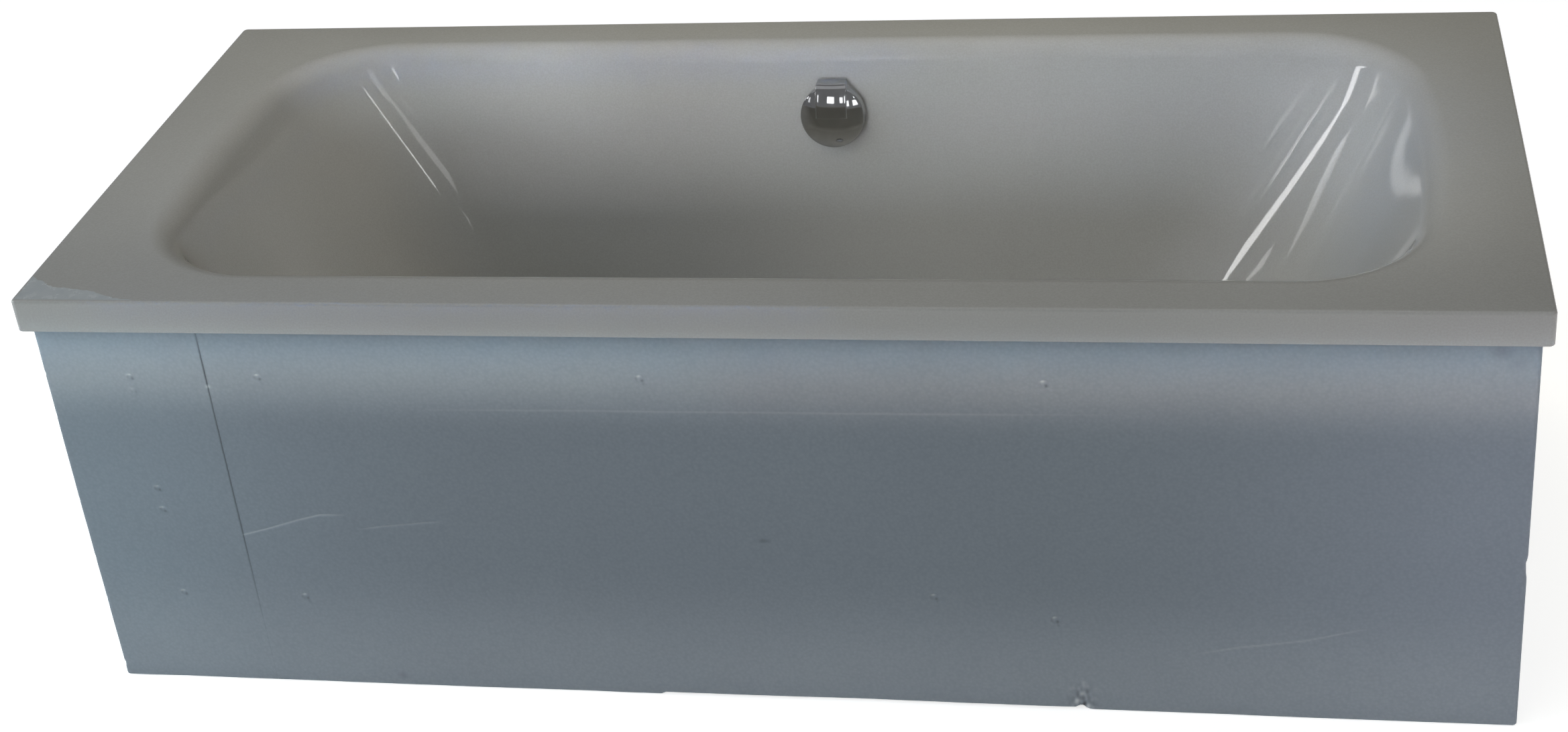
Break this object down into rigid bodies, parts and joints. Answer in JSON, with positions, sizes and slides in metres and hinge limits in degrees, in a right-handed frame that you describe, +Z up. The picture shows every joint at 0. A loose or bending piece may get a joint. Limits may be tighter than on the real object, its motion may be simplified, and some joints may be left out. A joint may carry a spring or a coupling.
{
  "type": "bathtub",
  "caption": "Rectangular double-ended bathtub with a flat rim on a foam carrier, with a turning overflow knob that lifts the waste plug.",
  "frame": {"origin": "on the room's floor, under the centre of the rim", "axes": "+X along the tub towards the end on the right of the picture, +Y towards the wall with the overflow knob, +Z up"},
  "size_m": [1.8, 0.8, 0.58],
  "materials": {
    "acrylic": "high gloss sanitary acrylic",
    "foam": "moulded expanded polystyrene, fine beads, matt",
    "chrome": "polished chrome",
    "steel": "satin stainless steel",
    "plastic": "moulded polypropylene",
    "rubber": "matt black rubber",
    "chipboard": "raw chipboard"
  },
  "bodies": {
    "tub": {"tub_shell": "acrylic", "base_board": "chipboard", "carrier_front_panel": "foam", "carrier_back_panel": "foam", "carrier_left_end": "foam", "carrier_right_end": "foam", "carrier_left_cradle": "foam", "carrier_right_cradle": "foam", "overflow_flange": "steel", "overflow_screws": "steel", "overflow_seal": "rubber", "overflow_body": "plastic", "drive_cover": "plastic", "overflow_top_nut": "plastic", "overflow_pipe": "plastic", "elbow_upper_nut": "plastic", "overflow_elbow": "plastic", "elbow_outlet_nut": "plastic", "cross_pipe": "plastic", "cross_pipe_nut": "plastic", "pipe_washers": "rubber", "bowden_cable": "rubber", "waste_flange": "chrome", "waste_flange_seal": "rubber", "waste_body_seal": "rubber", "waste_body": "plastic", "lever_pin": "steel", "trap_inlet_nut": "plastic", "trap_body": "plastic", "trap_outlet_nut": "plastic", "trap_washers": "rubber", "outlet_elbow": "plastic"},
    "knob": {"overflow_knob": "chrome", "knob_spindle": "steel", "drive_cam": "plastic"},
    "plug": {"plug_dome": "chrome", "plug_seal": "rubber", "plug_stem": "steel"},
    "lever": {"lift_lever": "plastic"}
  },
  "joints": [
    {"name": "knob_turn", "type": "hinge", "parent": "tub", "child": "knob", "pos_m": [0, 0.30271, 0.486], "axis": [0, -0.9903, 0.1392], "range_deg": [0, 90]},
    {"name": "plug_lift", "type": "slide", "parent": "tub", "child": "plug", "axis": [0, 0, 1], "range_m": [0, 0.008]},
    {"name": "lever_swing", "type": "hinge", "parent": "tub", "child": "lever", "pos_m": [-0.019, 0, 0.106], "axis": [0, -1, 0], "range_deg": [0, 25]}
  ],
  "couplings": [
    {"joint": "knob_turn", "follows": "plug_lift", "rad_per_m": 196.3},
    {"joint": "lever_swing", "follows": "plug_lift", "rad_per_m": 54.3}
  ]
}
